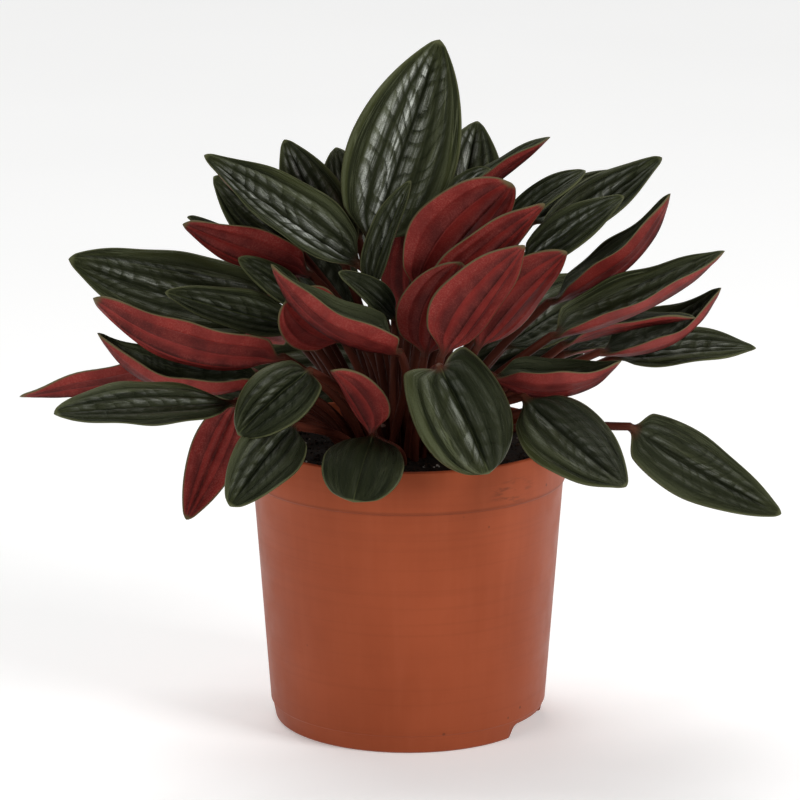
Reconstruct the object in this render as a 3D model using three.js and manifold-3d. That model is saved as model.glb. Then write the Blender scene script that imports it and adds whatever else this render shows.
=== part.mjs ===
// A peperomia in a 12 cm nursery pot: the thin plastic pot, the soil in it, two short crown stems
// and the leaves, each grown in one piece with its stalk, which stands in a hole in the soil.
// Millimetres, +Z up, +X to the right and -Y towards the viewer. The origin is on the pot's axis,
// in the plane that its foot stands on.

import * as THREE from 'three';
import { ParametricGeometry } from 'three/addons/geometries/ParametricGeometry.js';
import { mergeGeometries, mergeVertices } from 'three/addons/utils/BufferGeometryUtils.js';
import Module from 'manifold-3d';

const wasm = await Module();
wasm.setup();

// ---- driving dimensions -------------------------------------------------------------------

const pot = {
  height: 111,
  rimRadius: 60,
  rimWall: 1.7,
  bandHeight: 16.2,
  bandStep: 0.7,
  bodyRadius: 59.3,
  wall: 1.3,
  footStep: 7.3,
  footStepRadius: 53,
  skirtRadius: 52.4,
  footRadius: 51.2,
  edge: 0.6,
  floorUnder: 6,
  floorThickness: 1.3,
  segments: 56,
};

const drain = { holes: 8, radius: 4, ring: 34, segments: 16 };
const notch = { angles: [69, 249], topWidth: 33, footWidth: 37, height: 5.4, depth: 20 };

const soil = { level: 102.5, mound: 3, roughness: 1.1, gap: 0.3, rings: 6, segments: 32, seed: 11 };

const crown = {
  radius: 3.6,
  height: 10,
  depth: 9,
  places: [[-11, -2], [9, 3]],
  scars: [1, 3, 5, 7, 9],
  segments: 12,
  neck: 0.86,
  taper: 0.05,
};

const stalk = {
  radius: 1.6,
  depth: 7,
  hole: 0.4,
  centre: [-2, 0],
  spread: 24,
  spacing: 4.6,
  settling: 200,
  clearance: 4.3,
  stemClearance: 6.4,
  yielding: 40,
  stations: 20,
  handle: 0.35,
  lean: 0.1,
};

const blade = {
  thickness: 1.1,
  pillow: 0.7,
  fold: 6,
  rise: 0.7,
  shoulder: 0.14,
  step: 0.02,
  lengthwise: [0.06, 0.17, 0.32, 0.48, 0.64, 0.79, 0.92, 1],
  stalkwise: [0, 0.2, 0.45, 0.72, 1],
  across: 4,
};

// ---- the leaves ---------------------------------------------------------------------------

// base is where the stalk meets the blade and tip is the blade's point. face is roughly the way
// the upper side looks. width is the blade's breadth, cup the angle by which each half turns up
// towards its margin (down where it is negative), bow the arch of the midrib, sway its sideways
// curve, lobe how far the base reaches back beside the stalk and peak the widest place along the
// blade. round makes the tip blunter and via moves the middle of the stalk aside.

const leaves = {
  top_leaf_1: {
    base: [-15, 8, 181], tip: [12, 28, 258], face: [0.1, -1, 0.3],
    width: 44, bow: 2, sway: 0.3, cup: 18, peak: 0.42,
  },
  top_leaf_2: {
    base: [-17, -4, 176], tip: [-77, 8, 217], face: [0.1, -0.6, 0.8],
    width: 33, bow: -2, cup: 45,
  },
  top_leaf_3: {
    base: [-24, 20, 172], tip: [-47.5, 32, 219], face: [0, -1, 0.4],
    width: 27, bow: 1, cup: 20, via: [0, 6, 0],
  },
  top_leaf_4: {
    base: [-19, 36, 179], tip: [-28, 50, 213], face: [0, -1, 0.4],
    width: 24, bow: 2, cup: 20,
  },
  top_leaf_5: {
    base: [18, 34, 181], tip: [27, 52, 223], face: [0, -1, 0.3],
    width: 31, bow: 2, cup: 20,
  },
  top_leaf_6: {
    base: [9, 14, 190], tip: [54, 18, 222.2], face: [-0.6, 0, 0.8],
    width: 24, bow: -0.5, cup: 45,
  },
  top_leaf_7: {
    base: [16, 2, 197], tip: [31, 0, 213], face: [0, -0.5, 1],
    width: 14, bow: 2, cup: 50,
  },
  top_leaf_8: {
    base: [-14, -10, 169], tip: [1, -8, 210], face: [-0.6, -0.8, 0.2],
    width: 16, bow: 2, cup: 50,
  },
  centre_leaf_1: {
    base: [3, -18, 167], tip: [38, -24, 212], face: [-0.4, 1, 0.5],
    width: 39, bow: 3, cup: 25, peak: 0.48,
  },
  centre_leaf_2: {
    base: [7, -26, 164], tip: [50, -34, 206], face: [-0.3, 1, 0.6],
    width: 23, bow: 1, cup: 25,
  },
  centre_leaf_3: {
    base: [6, -32, 148], tip: [19, -38, 185], face: [-0.3, 1, 0.3],
    width: 30, bow: 4, cup: 25,
  },
  centre_leaf_4: {
    base: [12, -40, 150], tip: [42, -52, 194], face: [-0.4, 1, 0.5],
    width: 31, bow: 2, cup: 25,
  },
  centre_leaf_5: {
    base: [25, -28, 150], tip: [58, -38, 189], face: [-0.4, 1, 0.5],
    width: 32, bow: 3, cup: 25,
  },
  right_leaf_1: {
    base: [50, 18, 181], tip: [97, 26, 213], face: [-0.2, -1, 0.9],
    width: 22, bow: -0.5, cup: 20, via: [0, -3, 0],
  },
  right_leaf_2: {
    base: [37, 4, 191], tip: [67, 8, 211], face: [-0.2, -0.7, 1],
    width: 15, bow: 1, cup: 20,
  },
  right_leaf_3: {
    base: [43, 0, 176], tip: [81, -2, 203], face: [-0.2, -1, 0.8],
    width: 19, bow: 1, cup: 20,
  },
  right_leaf_4: {
    base: [47, 30, 187], tip: [82, 44, 205], face: [0, -0.8, 1],
    width: 19, bow: -2, cup: 20,
  },
  right_leaf_5: {
    base: [53, -5, 163], tip: [98, -7, 205], face: [-0.6, 0, 0.7],
    width: 34, bow: -9, cup: 60,
  },
  right_leaf_6: {
    base: [53, -26, 154.5], tip: [117, -27, 187], face: [-0.3, -0.24, 1],
    width: 36, bow: -6, cup: 58, lobe: 4,
  },
  right_leaf_7: {
    base: [72, -6, 144], tip: [118.5, 2, 167.2], face: [-0.1, -0.2, 1],
    width: 35, bow: -10, cup: 58,
  },
  right_leaf_8: {
    base: [58, -12, 148], tip: [108, -10, 158], face: [-0.1, 0, 1],
    width: 18, bow: 2, cup: 40,
  },
  right_leaf_9: {
    base: [78, 6, 139], tip: [133, 10, 142], face: [0, -0.5, 1],
    width: 24, bow: 2, cup: 10,
  },
  front_leaf_1: {
    base: [11, -62, 151], tip: [29, -74, 114], face: [0.2, -1, 0.3],
    width: 36.5, bow: 5, cup: -30, lobe: 12, peak: 0.46, round: 0.62,
  },
  front_leaf_2: {
    base: [-13, -55, 123], tip: [-20, -80, 105], face: [0, -0.7, 0.8],
    width: 30, bow: 4, cup: -20, peak: 0.5, round: 0.5, via: [6, 0, -3],
  },
  front_leaf_3: {
    base: [-36, -48.5, 146.5], tip: [-62, -64, 126], face: [0, -1, 0.7],
    width: 24.5, bow: 4, cup: -20, lobe: 4, peak: 0.45, round: 0.75,
  },
  front_leaf_4: {
    base: [-42, -51, 126.5], tip: [-64.3, -85, 104.8], face: [-0.1, -1, 0.4],
    width: 24.5, bow: 4, cup: -20, round: 0.85,
  },
  front_leaf_5: {
    base: [-64, -22, 129], tip: [-83, -34, 86], face: [0.2, 1, 0.3],
    width: 20, bow: 4, cup: 10,
  },
  front_leaf_6: {
    base: [30, -40, 143], tip: [79, -34, 147], face: [0, 0, 1],
    width: 37, bow: -9.5, cup: 68,
  },
  front_leaf_7: {
    base: [42, -52, 137.5], tip: [77.2, -98, 115.4], face: [0.2, -1, 0.4],
    width: 30, bow: -1.5, cup: -20,
  },
  front_leaf_8: {
    base: [83, -20, 118.5], tip: [141.5, -15, 83.1], face: [0.1, -1, 0.5],
    width: 26.5, bow: -4.5, cup: -10, lobe: 3, peak: 0.38, round: 1.02,
  },
  front_leaf_9: {
    base: [49, -34, 129], tip: [66, -44, 117], face: [0.2, -1, 0.5],
    width: 20, bow: 2, cup: 20,
  },
  left_leaf_1: {
    base: [-63, -42, 132.5], tip: [-125.8, -95, 141.3], face: [0.1, -0.6, 0.8],
    width: 23, bow: 1, cup: 10, peak: 0.5, round: 0.95,
  },
  left_leaf_2: {
    base: [-75, -6, 135.5], tip: [-145, -28, 131.8], face: [0.2, 0.6, 0.9],
    width: 28, bow: -1, cup: 40,
  },
  left_leaf_3: {
    base: [-52, -24, 138.5], tip: [-115, -34, 157.5], face: [0.2, -0.3, 1],
    width: 36, bow: -15, cup: 78, lobe: 3,
  },
  left_leaf_4: {
    base: [-46.5, -28, 147], tip: [-116, -38, 171.5], face: [0.4, 0.9, 0.8],
    width: 31, bow: -12, cup: 30, lobe: 4, peak: 0.44, round: 0.8,
  },
  left_leaf_5: {
    base: [-48, 6, 158], tip: [-128, -2, 179], face: [0.2, -1, 0.8],
    width: 36, bow: -9.5, cup: 15, round: 0.8,
  },
  left_leaf_6: {
    base: [-41, -8, 154], tip: [-91, -16, 169], face: [0.2, -1, 0.9],
    width: 20, bow: -1, cup: 20,
  },
  left_leaf_7: {
    base: [-41, 1, 161.5], tip: [-64, -5, 180], face: [0.2, -1, 0.6],
    width: 14, bow: 2, cup: 20, via: [6, -8, 0],
  },
  left_leaf_8: {
    base: [-37, 8.4, 171], tip: [-85, 0.3, 192], face: [0.4, 0.9, 0.7],
    width: 30, bow: -4, cup: 30, round: 0.85,
  },
  left_leaf_9: {
    base: [-44, 15.4, 169], tip: [-84, 13, 192.3], face: [0.3, -0.6, 1],
    width: 9, bow: 2, cup: 30, via: [0, 2, 0],
  },
  left_leaf_10: {
    base: [-41, 25.5, 175.8], tip: [-74.5, 27, 205.5], face: [0.1, -1, 0.5],
    width: 28, bow: 2, cup: 20,
  },
  middle_leaf_1: {
    base: [-3, -38, 151], tip: [-50, -52, 187], face: [0.4, 0, 1],
    width: 40, bow: -9, cup: 66, lobe: 4, peak: 0.32, round: 1,
  },
  middle_leaf_2: {
    base: [-24, -22, 152], tip: [-45, -46, 172], face: [-0.7, 0.7, 0.3],
    width: 27, bow: 3, cup: 25,
  },
  middle_leaf_3: {
    base: [-5, -16, 159], tip: [-26, -22, 178], face: [0.3, -0.8, 0.8],
    width: 14, bow: 2, cup: 20, via: [-6, 0, 0],
  },
  middle_leaf_4: {
    base: [-13, -42, 121], tip: [-28, -54, 148], face: [0.5, 0.8, 0.6],
    width: 24, bow: 2, cup: 50,
  },
  rear_leaf_1: {
    base: [-30, 40, 160], tip: [-70, 95, 170], face: [0.2, -0.6, 1],
    width: 30, bow: 4, cup: 20,
  },
  rear_leaf_2: {
    base: [-5, 48, 165], tip: [-15, 100, 172], face: [0, 0, 1],
    width: 30, bow: 4, cup: 20,
  },
  rear_leaf_3: {
    base: [22, 48, 162], tip: [40, 98, 165], face: [0, 0, 1],
    width: 30, bow: 4, cup: 20,
  },
  rear_leaf_4: {
    base: [36, 26, 138], tip: [84, 62, 158], face: [-0.3, -1, 0.6],
    width: 30, bow: 4, cup: 20,
  },
  rear_leaf_5: {
    base: [60, 30, 135], tip: [120, 60, 128], face: [0, 0, 1],
    width: 28, bow: 4, cup: 20,
  },
  rear_leaf_6: {
    base: [-44, 28, 143], tip: [-105, 75, 151], face: [0.2, 1, 0.3],
    width: 28, bow: 4, cup: 20,
  },
  rear_leaf_7: {
    base: [-60, 22, 130], tip: [-125, 45, 118], face: [0, 0, 1],
    width: 28, bow: 4, cup: 20,
  },
  rear_leaf_8: {
    base: [-4, 68, 119.5], tip: [-84, 73, 112.5], face: [0, -1, 0.4],
    width: 34, bow: 4, cup: 20,
  },
  rear_leaf_9: {
    base: [22, 56, 120], tip: [78, 66, 140], face: [0, -1, 0.4],
    width: 32, bow: 4, cup: 20,
  },
  rear_leaf_10: {
    base: [-22, 22, 150], tip: [-58, 58, 192], face: [0.2, -1, 0.5],
    width: 30, bow: 2, cup: 20,
  },
  rear_leaf_11: {
    base: [2, 18, 150], tip: [4, 28, 198], face: [0, 1, 0.2],
    width: 28, bow: 2, cup: 20,
  },
};

// ---- small helpers ------------------------------------------------------------------------

const up = new THREE.Vector3(0, 0, 1);
const radians = THREE.MathUtils.degToRad;
const mix = THREE.MathUtils.lerp;
const ease = (x) => THREE.MathUtils.smoothstep(x, 0, 1);

// A seeded draw between 0 and 1, the same on every run.
function drawFrom(seed) {
  let state = seed;
  return () => {
    state = (state * 16807) % 2147483647;
    return state / 2147483647;
  };
}

function welded(geometry) {
  geometry.deleteAttribute('normal');
  geometry.deleteAttribute('uv');
  const merged = mergeVertices(geometry, 1e-4);
  const kept = [];
  for (let i = 0; i < merged.index.count; i += 3) {
    const [a, b, c] = [0, 1, 2].map((k) => merged.index.getX(i + k));
    if (a !== b && b !== c && c !== a) kept.push(a, b, c);
  }
  merged.setIndex(kept);
  return merged;
}

function solidOf(geometry) {
  const mesh = welded(geometry.clone());
  return new wasm.Manifold(new wasm.Mesh({
    numProp: 3,
    vertProperties: new Float32Array(mesh.attributes.position.array),
    triVerts: new Uint32Array(mesh.index.array),
  }));
}

function geometryOf(solid) {
  const mesh = solid.getMesh();
  const geometry = new THREE.BufferGeometry();
  geometry.setAttribute('position', new THREE.BufferAttribute(mesh.vertProperties, 3));
  geometry.setIndex(new THREE.BufferAttribute(mesh.triVerts, 1));
  return geometry;
}

function lathe(points, segments) {
  const profile = points.map(([r, z]) => new THREE.Vector2(r, z));
  return new THREE.LatheGeometry(profile, segments).rotateX(Math.PI / 2);
}

// ---- the pot ------------------------------------------------------------------------------

function potGeometry() {
  const bandBottom = pot.height - pot.bandHeight;
  const floorTop = pot.floorUnder + pot.floorThickness;
  const shell = solidOf(lathe([
    [0, pot.floorUnder],
    [pot.skirtRadius - pot.wall - pot.edge, pot.floorUnder],
    [pot.footRadius - pot.wall, 0],
    [pot.footRadius - pot.edge, 0],
    [pot.footRadius, pot.edge],
    [pot.skirtRadius, pot.footStep - pot.edge],
    [pot.footStepRadius, pot.footStep],
    [pot.bodyRadius, bandBottom - pot.edge],
    [pot.bodyRadius + pot.bandStep, bandBottom],
    [pot.rimRadius, pot.height - pot.edge],
    [pot.rimRadius - pot.edge, pot.height],
    [pot.rimRadius - pot.rimWall + pot.edge, pot.height],
    [pot.rimRadius - pot.rimWall, pot.height - pot.edge],
    [pot.bodyRadius + pot.bandStep - pot.rimWall, bandBottom],
    [pot.bodyRadius - pot.wall, bandBottom - pot.edge],
    [pot.footStepRadius - pot.wall, floorTop + 2 * pot.edge],
    [pot.footStepRadius - pot.wall - 2 * pot.edge, floorTop],
    [0, floorTop],
  ], pot.segments));

  let body = shell;
  for (let i = 0; i < drain.holes; i += 1) {
    const angle = (i / drain.holes) * 2 * Math.PI;
    const depth = 4 * pot.floorThickness;
    const hole = new THREE.CylinderGeometry(drain.radius, drain.radius, depth, drain.segments)
      .rotateX(Math.PI / 2)
      .translate(drain.ring * Math.cos(angle), drain.ring * Math.sin(angle), pot.floorUnder);
    body = body.subtract(solidOf(hole));
  }
  for (const angle of notch.angles) {
    const [top, foot, bend] = [notch.topWidth / 2, notch.footWidth / 2, notch.height / 3];
    const outline = new THREE.Shape();
    outline.moveTo(-foot, -1);
    outline.lineTo(foot, -1);
    outline.lineTo(top, notch.height - bend);
    outline.quadraticCurveTo(top, notch.height, top - bend, notch.height);
    outline.lineTo(bend - top, notch.height);
    outline.quadraticCurveTo(-top, notch.height, -top, notch.height - bend);
    const cut = new THREE.ExtrudeGeometry(outline, {
      depth: notch.depth,
      bevelEnabled: false,
      curveSegments: 4,
    })
      .rotateX(Math.PI / 2)
      .translate(0, notch.depth / 2 - pot.footRadius, 0)
      .rotateZ(radians(angle));
    body = body.subtract(solidOf(cut));
  }
  return geometryOf(body);
}

// ---- the leaves' shape --------------------------------------------------------------------

// Where each stalk stands in the soil: the further a leaf leans, the further out it is rooted.
// Places closer together than the stalks' spacing are then pushed apart, a little at a time.
function rootPlaces() {
  const names = Object.keys(leaves);
  const centre = new THREE.Vector2(...stalk.centre);
  const places = names.map((name) => {
    const [x, y, z] = leaves[name].base;
    const reach = new THREE.Vector2(x, y).sub(centre);
    const lean = Math.atan2(reach.length(), z - soil.level) / (Math.PI / 2);
    return reach.setLength(stalk.spread * lean).add(centre);
  });
  const fixed = crown.places.map(([x, y]) => new THREE.Vector2(x, y));
  for (let turn = 0; turn < stalk.settling; turn += 1) {
    for (let i = 0; i < places.length; i += 1) {
      for (let j = 0; j < i; j += 1) push(places[i], places[j], stalk.spacing, 0.5);
      for (const stem of fixed) push(places[i], stem, stalk.stemClearance, 1);
    }
  }
  return Object.fromEntries(names.map((name, i) => [name, places[i]]));
}

function push(a, b, spacing, share) {
  const away = a.clone().sub(b);
  const short = spacing - away.length();
  if (short <= 0) return;
  away.setLength(short);
  a.addScaledVector(away, share);
  if (share < 1) b.addScaledVector(away, share - 1);
}

// The midrib's line from the blade's base to its tip, and the frame that the blade is drawn in.
function leafLine(leaf) {
  const base = new THREE.Vector3(...leaf.base);
  const along = new THREE.Vector3(...leaf.tip).sub(base);
  const axis = along.clone().normalize();
  const face = new THREE.Vector3(...leaf.face);
  face.addScaledVector(axis, -face.dot(axis)).normalize();
  const side = new THREE.Vector3().crossVectors(axis, face);
  const midrib = (t) => {
    const arch = 4 * t * (1 - t);
    return base.clone().addScaledVector(along, t)
      .addScaledVector(face, (leaf.bow ?? 0) * arch)
      .addScaledVector(side, (leaf.sway ?? 0) * arch);
  };
  return { base, face, midrib };
}

// The stalk's line from its foot in the soil to the blade's base. bend moves its middle aside.
function stalkCurve(leaf, root, bend) {
  const { base, midrib } = leafLine(leaf);
  const foot = new THREE.Vector3(root.x, root.y, soil.level - stalk.depth);
  const reach = base.clone().sub(foot);
  const handle = stalk.handle * reach.length();
  const leaving = midrib(blade.step).sub(base).normalize();
  const arriving = reach.clone().normalize().lerp(leaving, stalk.handle).normalize();
  return new THREE.CubicBezierCurve3(
    foot,
    foot.clone().addScaledVector(up, handle).addScaledVector(reach, stalk.lean).add(bend),
    base.clone().addScaledVector(arriving, -handle).add(bend),
    base,
  );
}

// How far each stalk's middle is moved aside, so that no two stalks come closer than their
// clearance: where they would, each gives way sideways by the same amount.
function stalkBends(roots) {
  const names = Object.keys(leaves);
  const bends = names.map((name) => new THREE.Vector3(...(leaves[name].via ?? [0, 0, 0])));
  const stemTop = soil.level + soil.mound + crown.height;
  const stems = crown.places.map(([x, y]) => (
    [new THREE.Vector3(x, y, soil.level), new THREE.Vector3(x, y, stemTop)]
  ));
  for (let turn = 0; turn < stalk.yielding; turn += 1) {
    const lines = names.map((name, i) => (
      stalkCurve(leaves[name], roots[name], bends[i]).getPoints(stalk.stations)
    ));
    for (let i = 0; i < lines.length; i += 1) {
      for (const stem of stems) bends[i].add(shortfall(lines[i], stem, stalk.stemClearance));
      for (let j = 0; j < lines.length; j += 1) {
        if (i === j) continue;
        const away = shortfall(lines[i], lines[j], stalk.clearance);
        bends[i].add(away);
        bends[j].sub(away);
      }
    }
  }
  return Object.fromEntries(names.map((name, i) => [name, bends[i]]));
}

// The level move that would take one line out of the other's clearance, nothing if it is clear.
function shortfall(line, other, clearance) {
  const away = new THREE.Vector3();
  const near = new THREE.Vector3();
  const segment = new THREE.Line3();
  let closest = clearance;
  for (let k = 1; k < line.length - 1; k += 1) {
    for (let m = 1; m < other.length; m += 1) {
      segment.set(other[m - 1], other[m]).closestPointToPoint(line[k], true, near);
      const gap = near.distanceTo(line[k]);
      if (gap >= closest) continue;
      closest = gap;
      away.subVectors(line[k], near).setZ(0).setLength(clearance - gap);
    }
  }
  return away;
}

// The rows of a leaf, from the stalk's foot to the tip. Each holds a centre, the directions
// across the leaf and out of its upper face, and how far along the blade it is.
function leafRows(leaf, root, bend) {
  const { face: upper, midrib } = leafLine(leaf);
  const rows = blade.lengthwise.map((t) => {
    const centre = midrib(t);
    const before = Math.min(t, 1 - blade.step) - blade.step;
    const forward = midrib(before + 2 * blade.step).sub(midrib(before)).normalize();
    const face = upper.clone().addScaledVector(forward, -upper.dot(forward)).normalize();
    return { centre, forward, face, t };
  });
  const curve = stalkCurve(leaf, root, bend);
  for (const s of [...blade.stalkwise].reverse()) {
    const next = rows[0];
    const centre = curve.getPoint(s);
    const forward = curve.getTangent(s);
    if (s === 1) forward.add(next.forward).normalize();
    const face = next.face.clone().addScaledVector(forward, -next.face.dot(forward)).normalize();
    rows.unshift({ centre, forward, face, t: 0 });
  }
  for (const row of rows) row.side = new THREE.Vector3().crossVectors(row.forward, row.face);
  return rows;
}

// Half the blade's breadth at t along it, as a share of its greatest: round at the base and
// pointed at the tip, or blunter at the tip where round gives the power for that end.
function breadth(t, leaf) {
  const peak = leaf.peak ?? 0.4;
  const rise = leaf.round ? (leaf.round * peak) / (1 - peak) : blade.rise;
  const fall = (rise * (1 - peak)) / peak;
  const top = peak ** rise * (1 - peak) ** fall;
  return (t ** rise * (1 - t) ** fall) / top;
}

// One point of a leaf's skin: u runs from margin to margin, -1 to 1, on the upper face (sheet 1)
// or the lower (sheet -1).
function skinPoint(leaf, row, u, sheet, grow) {
  const angle = (Math.PI / 2) * u;
  const stalkX = (stalk.radius + grow) * Math.sin(angle);
  const stalkY = (stalk.radius + grow) * Math.cos(angle) * sheet;

  const t = row.t;
  const half = 0.5 * leaf.width * breadth(t, leaf);
  const fold = radians(blade.fold);
  const cup = radians(leaf.cup ?? 0);
  const turn = fold + cup * Math.abs(u);
  const bent = Math.abs(cup) > 0.01;
  const bladeX = bent ? (Math.sin(turn) - Math.sin(fold)) / cup : Math.cos(fold) * Math.abs(u);
  const rise = bent ? (Math.cos(fold) - Math.cos(turn)) / cup : Math.sin(fold) * Math.abs(u);
  const skin = (blade.thickness / 2) * (1 - u * u) * sheet;
  const pillow = blade.pillow * Math.sin(Math.PI * Math.abs(u)) * Math.sin(Math.PI * t);
  const taper = Math.min(1, half / 4);
  const bladeY = half * rise + (skin + pillow) * taper;

  const spread = ease(t / blade.shoulder);
  const back = (leaf.lobe ?? 0) * u * u * (1 - ease(t / 0.5)) * spread;
  return row.centre.clone()
    .addScaledVector(row.side, mix(stalkX, half * bladeX * Math.sign(u), spread))
    .addScaledVector(row.face, mix(stalkY, bladeY, spread))
    .addScaledVector(row.forward, -back);
}

// A leaf is two sheets, the upper and the lower, welded along their shared margin. Both are
// split into triangles alike, so a waved blade keeps its thickness everywhere.
function leafGeometry(leaf, root, bend, grow = 0) {
  const rows = leafRows(leaf, root, bend);
  const last = rows.length;
  const foot = rows[0].centre.clone().addScaledVector(rows[0].forward, -stalk.radius - 2 * grow);
  const sheets = [1, -1].map((sheet) => new ParametricGeometry((v, w, target) => {
    const row = Math.round(w * last) - 1;
    const u = 2 * v - 1;
    if (row < 0) target.copy(foot);
    else if (row === last - 1) target.copy(rows[row].centre);
    else target.copy(skinPoint(leaf, rows[row], u, sheet, grow));
  }, blade.across, last));
  const lower = sheets[1].index.array;
  for (let i = 0; i < lower.length; i += 3) [lower[i], lower[i + 1]] = [lower[i + 1], lower[i]];
  return welded(mergeGeometries(sheets));
}

// ---- the soil and the crowns --------------------------------------------------------------

// The fill's outline follows the pot's inside with a small gap. Its top is heaped a little in
// the middle and crumbly all over.
function soilGeometry(holes) {
  const draw = drawFrom(soil.seed);
  const floorTop = pot.floorUnder + pot.floorThickness;
  const bandBottom = pot.height - pot.bandHeight;
  const inside = (z) => mix(
    pot.footStepRadius,
    pot.bodyRadius,
    (z - pot.footStep) / (bandBottom - pot.footStep),
  ) - pot.wall - soil.gap;
  const profile = [[0, floorTop + soil.gap]];
  profile.push([inside(floorTop) - 3 * pot.edge, floorTop + soil.gap]);
  profile.push([inside(floorTop), floorTop + 3 * pot.edge]);
  profile.push([inside(bandBottom - 2 * pot.edge), bandBottom - 2 * pot.edge]);
  for (let ring = soil.rings; ring >= 0; ring -= 1) {
    const share = ring / soil.rings;
    profile.push([share * inside(bandBottom), soil.level + soil.mound * (1 - share * share)]);
  }
  const geometry = welded(lathe(profile, soil.segments));
  const places = geometry.attributes.position;
  for (let i = 0; i < places.count; i += 1) {
    if (places.getZ(i) < bandBottom + pot.edge) continue;
    places.setZ(i, places.getZ(i) + soil.roughness * (2 * draw() - 1));
  }
  return geometryOf(holes.reduce((heap, hole) => heap.subtract(hole), solidOf(geometry)));
}

function crownGeometry([x, y], grow = 0) {
  const profile = [[0, -crown.depth - grow]];
  for (const [i, z] of [-crown.depth - grow, ...crown.scars].entries()) {
    const girth = crown.radius * (1 - crown.taper * i) + grow;
    profile.push([girth * (i % 2 ? 1 : crown.neck), z]);
  }
  profile.push([0, crown.height + grow]);
  return welded(lathe(profile, crown.segments)).translate(x, y, soil.level + soil.mound);
}

// ---- the finished plant -------------------------------------------------------------------

const finish = {
  pot: { color: 0x9a4b31, roughness: 0.45, metalness: 0 },
  soil: { color: 0x1d1612, roughness: 1, metalness: 0 },
  crown: { color: 0x6b3a34, roughness: 0.7, metalness: 0 },
  leaf: { color: 0x2c4436, roughness: 0.4, metalness: 0 },
};

function part(name, geometry, look) {
  const mesh = new THREE.Mesh(geometry, new THREE.MeshStandardMaterial(finish[look]));
  mesh.name = name;
  mesh.geometry.computeVertexNormals();
  return mesh;
}

const plant = new THREE.Group();
const roots = rootPlaces();
const bends = stalkBends(roots);
const holes = [];

crown.places.forEach((place, i) => {
  plant.add(part(`crown_stem_${i + 1}`, crownGeometry(place), 'crown'));
  holes.push(solidOf(crownGeometry(place, stalk.hole)));
});
for (const [name, leaf] of Object.entries(leaves)) {
  plant.add(part(name, leafGeometry(leaf, roots[name], bends[name]), 'leaf'));
  holes.push(solidOf(leafGeometry(leaf, roots[name], bends[name], stalk.hole)));
}
plant.add(part('soil', soilGeometry(holes), 'soil'));
plant.add(part('pot', potGeometry(), 'pot'));

export default plant;
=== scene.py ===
# A peperomia in a nursery pot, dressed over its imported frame: each leaf drawn out finely with
# its veins, the crown stems, the crumbly soil and the moulded pot.
import random
from math import acos, atan2, cos, exp, floor, pi, radians, sin, sqrt

import bmesh
import bpy
import numpy as np
from mathutils import Matrix, Vector, noise


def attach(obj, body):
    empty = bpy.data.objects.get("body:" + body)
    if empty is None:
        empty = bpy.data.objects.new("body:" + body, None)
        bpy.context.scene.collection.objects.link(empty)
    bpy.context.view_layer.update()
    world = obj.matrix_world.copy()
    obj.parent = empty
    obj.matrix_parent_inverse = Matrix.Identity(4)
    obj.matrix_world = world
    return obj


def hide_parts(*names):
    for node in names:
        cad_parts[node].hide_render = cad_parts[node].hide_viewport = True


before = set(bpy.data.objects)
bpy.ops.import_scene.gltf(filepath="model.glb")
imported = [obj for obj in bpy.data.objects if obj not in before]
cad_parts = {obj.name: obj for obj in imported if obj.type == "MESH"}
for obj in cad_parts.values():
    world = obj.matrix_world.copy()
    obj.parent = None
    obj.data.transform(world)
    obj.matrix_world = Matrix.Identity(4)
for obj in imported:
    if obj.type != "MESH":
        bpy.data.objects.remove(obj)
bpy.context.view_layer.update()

print("frame loaded:", len(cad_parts), "nodes")

# sizes are given in millimetres and turned into metres at the end
toMetres = 0.001


def rgb(red, green, blue):
    return (red, green, blue, 1.0)


camera = {
    "distance": 1400,
    "height": 13.3,          # degrees above the horizon
    "lens": 165.56,
    "sensor": 36,
    "target": (-3.1, 0, 124),
}
studio = {
    "paper": (0.94, 0.94, 0.935),
    "paperShade": 0.97,      # how pale the paper's faint clouds are
    "paperGlow": 0.25,
    "paperSize": 8000,       # from its middle to each side
    "paperDrop": 0.2,        # how far it lies below the pot's foot
    "sky": 0.14,
    "ceiling": ((-500, 900, 2000), 40, 1.9),    # place, softness in degrees, strength
    "lamps": {                                  # place, width and strength of each soft lamp
        "keyLamp": ((1250, -850, 850), 650, 16),
        "fillLamp": ((-1200, -1200, 600), 1100, 10),
    },
}


def aim(obj, place, target):
    obj.location = Vector(place) * toMetres
    look = (Vector(target) - Vector(place)).to_track_quat("-Z", "Y")
    obj.rotation_euler = look.to_euler()
    bpy.context.scene.collection.objects.link(obj)


def setUpStudio():
    tilt = radians(camera["height"])
    target = Vector(camera["target"])
    back = Vector((0, -cos(tilt), sin(tilt))) * camera["distance"]
    view = bpy.data.cameras.new("photoView")
    view.lens = camera["lens"]
    view.sensor_width = camera["sensor"]
    eye = bpy.data.objects.new("photoView", view)
    aim(eye, target + back, target)
    bpy.context.scene.camera = eye

    for name, (place, width, watts) in studio["lamps"].items():
        lamp = bpy.data.lights.new(name, "AREA")
        lamp.size = width * toMetres
        lamp.energy = watts
        aim(bpy.data.objects.new(name, lamp), place, target)

    place, softness, strength = studio["ceiling"]
    lamp = bpy.data.lights.new("ceilingLight", "SUN")
    lamp.angle = radians(softness)
    lamp.energy = strength
    aim(bpy.data.objects.new("ceilingLight", lamp), place, target)

    sky = bpy.data.worlds.new("paleRoom")
    bpy.context.scene.world = sky
    sky.use_nodes = True
    glow = sky.node_tree.nodes["Background"].inputs
    glow["Color"].default_value = rgb(1, 1, 1)
    glow["Strength"].default_value = studio["sky"]
    bpy.context.scene.view_settings.view_transform = "Standard"
    print("studio lit")


# small helpers for the finishes
def newFinish(name):
    finish = bpy.data.materials.new(name)
    finish.use_nodes = True
    return finish, finish.node_tree


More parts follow.
